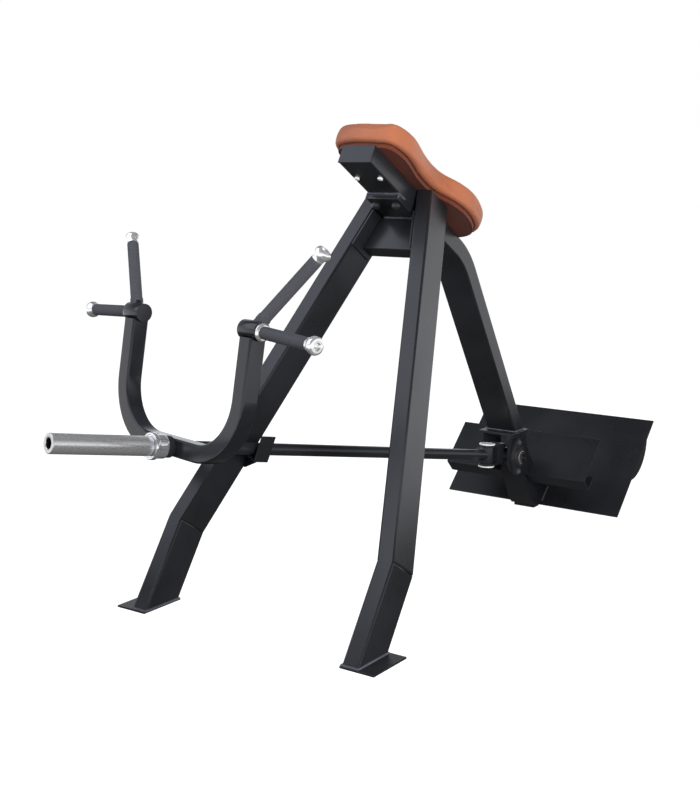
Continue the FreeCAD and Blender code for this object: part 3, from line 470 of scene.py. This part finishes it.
def fill_pad(obj, pressure=4.0, cap=0.003):
    """Blow the cover up under pressure with its underside held, and limit how far each point moves."""
    inverse = SPINE.inverted()
    start = np.array([v.co for v in obj.data.vertices], float)
    held = obj.vertex_groups.new(name="held")
    held.add([v.index for v in obj.data.vertices if (inverse @ v.co).z < 0.0165], 1.0, "REPLACE")
    cloth = obj.modifiers.new("cloth", "CLOTH")
    settings = cloth.settings
    settings.use_pressure = True
    settings.uniform_pressure_force = pressure
    settings.effector_weights.gravity = 0.0
    settings.vertex_group_mass = "held"
    settings.tension_stiffness = 15
    settings.compression_stiffness = 15
    settings.bending_stiffness = 4
    for step in range(1, 21):
        scene.frame_set(step)
    shaped = obj.evaluated_get(bpy.context.evaluated_depsgraph_get())
    end = np.array([v.co for v in shaped.to_mesh().vertices], float)
    shaped.to_mesh_clear()
    obj.modifiers.remove(cloth)
    move = end - start
    length = np.linalg.norm(move, axis=1, keepdims=True)
    move *= np.minimum(1.0, cap / np.maximum(length, 1e-9))
    obj.data.vertices.foreach_set("co", (start + move).ravel())
    obj.data.update()
    scene.frame_set(1)


def smooth_over(obj, times):
    relax = obj.modifiers.new("relax", "SMOOTH")
    relax.iterations = times
    relax.factor = 0.5
    apply_all(obj)


def chest_cushion():
    """Foam cushion under a stretched vinyl cover."""
    obj = blank_pad()
    finish_mesh(obj, 0)
    remesh = obj.modifiers.new("remesh", "REMESH")
    remesh.mode = "VOXEL"
    remesh.voxel_size = 0.004
    apply_all(obj)
    smooth_over(obj, 4)
    fill_pad(obj)
    smooth_over(obj, 5)
    finer = obj.modifiers.new("finer", "SUBSURF")
    finer.levels = 1
    finer.render_levels = 1
    obj.data.materials.clear()
    obj.data.materials.append(VINYL)
    obj.data.polygons.foreach_set("use_smooth", [True] * len(obj.data.polygons))
    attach(obj, "stand")
    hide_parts("chest_pad")


def backing():
    """The welt where the cushion meets the board, and the piping round the board's underside."""
    loop = even(face_outline("chest_pad", SPINE, BOARD_TOP), OUTLINE_POINTS)
    board = even(face_outline("pad_board", SPINE, 0.0), OUTLINE_POINTS)
    for name, line, height, radius in (("pad_welt", drawn_in(loop, 0.0145), 0.0128, 0.0013),
                                       ("board_piping", board, 0.0008, 0.0016)):
        points = [SPINE @ Vector((p.x, p.y, height)) for p in line]
        trim = rope(name, points, radius, PIPING, "stand", step=0.003, closed=True)


chest_cushion()
backing()


# ---- welds -----------------------------------------------------------------------------------
def node_box(node, place):
    """Lowest and highest corners of a node in a frame."""
    inverse = place.inverted()
    points = np.array([inverse @ v.co for v in nodes[node].data.vertices], float)
    return Vector(points.min(0)), Vector(points.max(0))


def in_frame(place, points):
    return [place @ Vector(p) for p in points]


def spine_welds():
    """Beads round the joint plates, the crossbar's head and the spine's foot."""
    low, high = node_box("joint_plate_upper", SPINE)
    base, _ = node_box("joint_plate_lower", SPINE)
    ahead, under = low.y - 0.0005, high.z - 0.0005
    bead("weld_joint_front", in_frame(SPINE, [(-0.049, ahead, under), (0.049, ahead, under)]), radius=0.004)
    for side, word in ((1, "right"), (-1, "left")):
        line = [(side * 0.0495, low.y, under), (side * 0.0495, low.y + 0.03, under)]
        bead("weld_joint_%s" % word, in_frame(SPINE, line), radius=0.0026)
        drop = [(side * 0.0495, low.y, under), (side * 0.0495, low.y, base.z + 0.002)]
        bead("weld_plates_%s" % word, in_frame(SPINE, drop), radius=0.0024)
    bar = [nodes["crossbar"].matrix_world @ v.co for v in nodes["crossbar"].data.vertices]
    local = [LEG.inverted() @ v for v in bar]
    front = max(p.z for p in local)
    roof = max(p.y for p in local if p.z > front - 0.0005)
    bead("weld_crossbar_head", in_frame(LEG, [(-0.050, roof, front), (0.050, roof, front)]), radius=0.0038)
    level = node_box("spine_flange", Matrix.Identity(4))[1].z
    rows = [v.co for v in nodes["spine"].data.vertices if abs(v.co.z - level) < 0.0005]
    front, back = min(v.y for v in rows), max(v.y for v in rows)
    ring = [(-0.050, front, level), (0.050, front, level), (0.050, back, level), (-0.050, back, level)]
    bead("weld_spine_foot", ring, radius=0.0032, closed=True)


def leg_welds():
    """Beads where the shins stand on the floor plates."""
    for word in ("right", "left"):
        low, high = node_box("front_shin_%s" % word, Matrix.Identity(4))
        level = low.z
        rows = [v.co for v in nodes["front_shin_%s" % word].data.vertices if v.co.z < level + 0.0006]
        front, back = min(v.y for v in rows), max(v.y for v in rows)
        left, right = low.x, high.x
        ring = [(left, front, level), (right, front, level), (right, back, level), (left, back, level)]
        bead("weld_foot_%s" % word, ring, radius=0.003, closed=True)


POST_SLOPE = math.radians(44.3)


def base_welds():
    """Beads along the bearing plates and the post."""
    for side, word in ((1, "right"), (-1, "left")):
        outer, inner = side * 0.050, side * 0.0405
        low, high = node_box("bearing_plate_%s" % word, Matrix.Identity(4))
        roof = [(outer, low.y + 0.004, high.z), (outer, -0.112, high.z)]
        bead("weld_cheek_%s" % word, roof, radius=0.0028)
        run = [(inner, 0.032 + math.cos(POST_SLOPE) * a, math.sin(POST_SLOPE) * a) for a in (0.02, 0.078)]
        bead("weld_post_%s" % word, run, radius=0.0026)


def lever_welds():
    """The bead round the bar where it meets the yoke's tube."""
    radius, ahead, count = 0.0168, YOKE_REACH - 0.0235, 40
    turns = [2 * math.pi * i / count for i in range(count)]
    ring = [(radius * math.cos(t), radius * math.sin(t), ahead) for t in turns]
    bead("weld_bar_yoke", in_frame(LEVER, ring), "lever", 0.003, True)


spine_welds()
leg_welds()
base_welds()
lever_welds()


# ---- turned fittings ---------------------------------------------------------------------------
DROOP = math.radians(3.2)
RAISED = (156.8, 200.9, -54.7)


def handle_place(side, direction):
    """A hub's centre with z running out along one of its handles."""
    hub = Vector((side * YOKE_HALF, YOKE_HEIGHT, YOKE_REACH))
    if direction == "cross":
        out = Vector((side * math.cos(DROOP), -math.sin(DROOP), 0))
    else:
        out = Vector((side * RAISED[0], RAISED[1], RAISED[2])).normalized()
    across = Vector((0, 0, 1)).cross(out).normalized()
    return LEVER @ columns(across, out.cross(across), out, hub)


def fitting(name, profile, place, material, body, node, slot, **more):
    obj = lathe(name, profile, place, material, body, **more)
    if node:
        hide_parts(node)
    return obj


CAP_LENGTH = 0.029
CAP_RADIUS = 0.0219
CAP_FLOOR = 0.0246
CAP = [(0.0, 0.0), (0.0163, 0.0), (0.0165, 0.0022), (0.0168, 0.0065), (0.0192, 0.0105),
       (0.0212, 0.0145), (CAP_RADIUS, 0.0185), (0.0217, 0.0225), (0.0205, 0.0262), (0.0180, 0.0286),
       (0.0155, CAP_LENGTH), (0.0136, CAP_LENGTH), (0.0130, 0.0280), (0.0122, 0.0280),
       (0.0116, 0.0289), (0.0098, CAP_LENGTH), (0.0062, 0.0252), (0.0062, CAP_FLOOR)]
SCREW = [(0.0, 0.0225), (0.0060, 0.0225), (0.0060, 0.0250), (0.0052, 0.0256), (0.0030, 0.0258),
         (0.0028, 0.0235), (0.0, 0.0235)]


def handle_fittings():
    """Caps with their countersunk screws, rings and foam grips on the four handles."""
    for side, word in ((1, "right"), (-1, "left")):
        for direction, reach, radius in (("cross", 0.236, CAP_RADIUS), ("raised", 0.261, 0.0203)):
            place = handle_place(side, direction) @ Matrix.Translation((0, 0, reach - CAP_LENGTH))
            cap = [(r * radius / CAP_RADIUS, h) for r, h in CAP] + [(0.0, CAP_FLOOR)]
            fitting("%s_end_%s" % (direction, word), cap, place, ALUMINIUM, "lever",
                    "%s_cap_%s" % (direction, word), "bright_aluminium", bevel=0.0001)
            fitting("%s_screw_%s" % (direction, word), SCREW, place, ALUMINIUM, "lever", None,
                    "bright_aluminium")
        place = handle_place(side, "cross")
        ring = [(0.0128, 0.0320), (0.0205, 0.0320), (0.0218, 0.0335), (0.0219, 0.0365), (0.0210, 0.0385),
                (0.0188, 0.0400), (0.0178, 0.0419), (0.0128, 0.0419)]
        fitting("cross_ring_%s" % word, ring, place, ALUMINIUM, "lever", "handle_ring_%s" % word,
                "bright_aluminium", closed=True)
        foam = {"cross": (0.042, 0.2068), "raised": (0.0275, 0.2318)}
        for direction, (start, end) in foam.items():
            if direction == "raised":
                foot = [(0.0127, 0.0402), (0.0164, 0.0402), (0.0164, start), (0.0170, start + 0.0012),
                        (0.0170, 0.0410), (0.0156, 0.0450)]
            else:
                foot = [(0.0127, start), (0.0146, start), (0.0154, start + 0.0012), (0.0155, start + 0.01)]
            grip = foot + [(0.0155, end - 0.01), (0.0154, end - 0.0012), (0.0147, end), (0.0127, end)]
            fitting("%s_foam_%s" % (direction, word), grip, handle_place(side, direction), GRIP, "lever",
                    "%s_grip_%s" % (direction, word), "grip_rubber", closed=True)


def sleeve_fittings():
    """The collar with its rim, the hollow sleeve with a rounded nose, and a near-black disc inside its mouth as
    painted shade.
    """
    front = 1.198
    collar = [(0.0222, front), (0.0296, front), (0.0305, front + 0.0012), (0.0305, front + 0.0060),
              (0.0305, front + 0.0252), (0.0318, front + 0.0266), (0.0336, front + 0.0272),
              (0.0345, front + 0.0285), (0.0345, front + 0.0382), (0.0333, front + 0.0399),
              (0.0292, front + 0.0400), (0.0286, front + 0.0394), (0.0222, front + 0.0394)]
    fitting("collar_turned", collar, LEVER, CHROME, "lever", "sleeve_collar", "bright_chrome",
            closed=True, segments=96)
    tube = [(0.0135, 1.186), (0.0220, 1.186), (0.0220, 1.2385), (0.0244, 1.2385), (0.0250, 1.2405),
            (0.0250, 1.5105), (0.0245, 1.5128), (0.0232, 1.5139), (0.0152, 1.5139), (0.0142, 1.5134),
            (0.0135, 1.5120)]
    fitting("sleeve_turned", tube, LEVER, STEEL, "lever", "weight_sleeve", "brushed_steel",
            closed=True, segments=96)
    # A near-black disc some 26 mm inside the sleeve's end, with a short liner up to the mouth: painted shade where
    # the bore goes dark.
    bore = [(0.0, 1.486), (0.0133, 1.486), (0.0133, 1.5118), (0.0129, 1.5118), (0.0129, 1.488), (0.0, 1.488)]
    fitting("sleeve_bore", bore, LEVER, BORE_SHADE_PAINT, "lever", None, "frame_black", bevel=0)


def pivot_fittings():
    """Washers and bolts on the bearing housings, and a washer at each end of the shaft."""
    for side, word in ((1, "right"), (-1, "left")):
        turn = Vector((side, 0, 0))
        for way, row in ((1, "upper"), (-1, "lower")):
            centre = SHAFT + Vector((side * 0.0621, 0, way * 0.046))
            place = columns(Vector((0, side, 0)), Vector((0, 0, 1)), turn, centre)
            washer = [(0.0, 0.0), (0.0085, 0.0), (0.0085, 0.0014), (0.0, 0.0014)]
            # The washers and bolt heads take the beads' lighter black, a painted highlight.
            fitting("housing_washer_%s_%s" % (row, word), washer, place, WELD, "stand", None,
                    "frame_black")
            head = [(0.0, 0.001), (0.0068, 0.001), (0.0068, 0.0058), (0.0058, 0.0066), (0.0, 0.0066)]
            fitting("housing_bolt_%s_%s" % (row, word), head, place, WELD, "stand", None,
                    "frame_black", segments=6)
        place = columns(Vector((0, side, 0)), Vector((0, 0, 1)), turn, SHAFT)
        ring = [(0.0128, 0.0726), (0.0205, 0.0726), (0.0208, 0.0732), (0.0208, 0.0738), (0.0203, 0.0744),
                (0.0128, 0.0744)]
        fitting("shaft_washer_%s" % word, ring, place, STEEL, "swivel_fork", None, "brushed_steel",
                closed=True)


handle_fittings()
sleeve_fittings()
pivot_fittings()


# ---- floor and light -------------------------------------------------------------------------
def area(name, place, target, width, height, power, colour=(1, 1, 1)):
    data = bpy.data.lights.new(name, "AREA")
    data.shape = "RECTANGLE"
    data.size = width
    data.size_y = height
    data.energy = power
    data.color = colour
    lamp = bpy.data.objects.new(name, data)
    lamp.location = place
    lamp.rotation_euler = (Vector(target) - Vector(place)).to_track_quat("-Z", "Y").to_euler()
    lamp.visible_glossy = False
    scene.collection.objects.link(lamp)
    return lamp


def show_to(obj, camera_rays, other_rays):
    obj.visible_camera = camera_rays
    obj.visible_diffuse = other_rays
    obj.visible_glossy = other_rays
    obj.visible_transmission = other_rays


def room_light():
    """Light of a white room: bright walls and a dim ceiling."""
    world = bpy.data.worlds.new("studio")
    world.use_nodes = True
    tree = world.node_tree
    place = tree.nodes.new("ShaderNodeTexCoord")
    split = tree.nodes.new("ShaderNodeSeparateXYZ")
    ramp = tree.nodes.new("ShaderNodeValToRGB")
    tree.links.new(place.outputs["Generated"], split.inputs["Vector"])
    tree.links.new(split.outputs["Z"], ramp.inputs["Fac"])
    walls, ceiling = ramp.color_ramp.elements
    walls.position, walls.color = 0.02, (1.13, 1.14, 1.18, 1)
    ceiling.position, ceiling.color = 0.55, (0.10, 0.10, 0.11, 1)
    tree.links.new(ramp.outputs["Color"], tree.nodes["Background"].inputs["Color"])
    return world


def sheet_card(name, corners, colour, strength, tone=(1, 1, 1)):
    """A flat studio card that gives or takes light but isn't seen by the camera."""
    material, _, shader = new_material(name)
    shader.inputs["Base Color"].default_value = (*colour, 1)
    shader.inputs["Roughness"].default_value = 1.0
    shader.inputs["Specular IOR Level"].default_value = 0.0
    shader.inputs["Emission Color"].default_value = (*tone, 1)
    shader.inputs["Emission Strength"].default_value = strength
    card = add_mesh(name, corners, [(0, 1, 2, 3)], material)
    show_to(card, False, True)
    card.visible_shadow = False
    return card


def studio():
    """A pale floor that runs into a white surround, and soft light from above and the left."""
    material, _, shader = new_material("floor_paint")
    shader.inputs["Base Color"].default_value = (0.3, 0.3, 0.3, 1)
    shader.inputs["Roughness"].default_value = 0.9
    shader.inputs["Specular IOR Level"].default_value = 0.0
    shader.inputs["Emission Color"].default_value = (1, 1, 1, 1)
    shader.inputs["Emission Strength"].default_value = 0.95
    sheet = [(-40, -40, 0), (40, -40, 0), (40, 40, 0), (-40, 40, 0)]
    floor = add_mesh("floor", sheet, [(0, 1, 2, 3)], material)
    show_to(floor, True, False)
    corners = [(-2.4, -2.8, -0.002), (2.4, -2.8, -0.002), (2.4, 1.8, -0.002), (-2.4, 1.8, -0.002)]
    tone = sheet_card("floor_tone", corners, (0, 0, 0), 0.08)
    tone.visible_diffuse = False
    bounce = sheet_card("floor_bounce", [Vector(c) * 3 for c in corners], (0, 0, 0), 0.52)
    bounce.visible_glossy = False
    scene.world = room_light()
    sheet_card("softbox", [(-2.7, -2.3, 1.4), (-0.25, -2.9, 1.4), (-0.35, -1.6, 3.3), (-2.9, -1.0, 3.3)],
               (0, 0, 0), 1.7, (0.82, 0.87, 1.0))
    surround, _, shader = new_material("surround")
    shader.inputs["Base Color"].default_value = (0, 0, 0, 1)
    shader.inputs["Specular IOR Level"].default_value = 0.0
    shader.inputs["Emission Color"].default_value = (1, 1, 1, 1)
    shader.inputs["Emission Strength"].default_value = 1.0
    shell = bmesh.new()
    bmesh.ops.create_uvsphere(shell, u_segments=48, v_segments=24, radius=39)
    mesh = bpy.data.meshes.new("surround")
    shell.to_mesh(mesh)
    shell.free()
    dome = bpy.data.objects.new("surround", mesh)
    scene.collection.objects.link(dome)
    mesh.materials.append(surround)
    show_to(dome, True, False)
    dome.visible_shadow = False
    area("key", (-1.3, -3.2, 3.0), (0, -0.9, 0.5), 1.6, 1.6, 48)
    area("top", (0.2, -0.4, 3.6), (0, -0.6, 0.4), 2.2, 2.2, 32)
    area("fill", (3.0, -2.6, 1.6), (0, -0.9, 0.9), 1.2, 1.8, 165)


studio()
scene.view_settings.view_transform = "Standard"
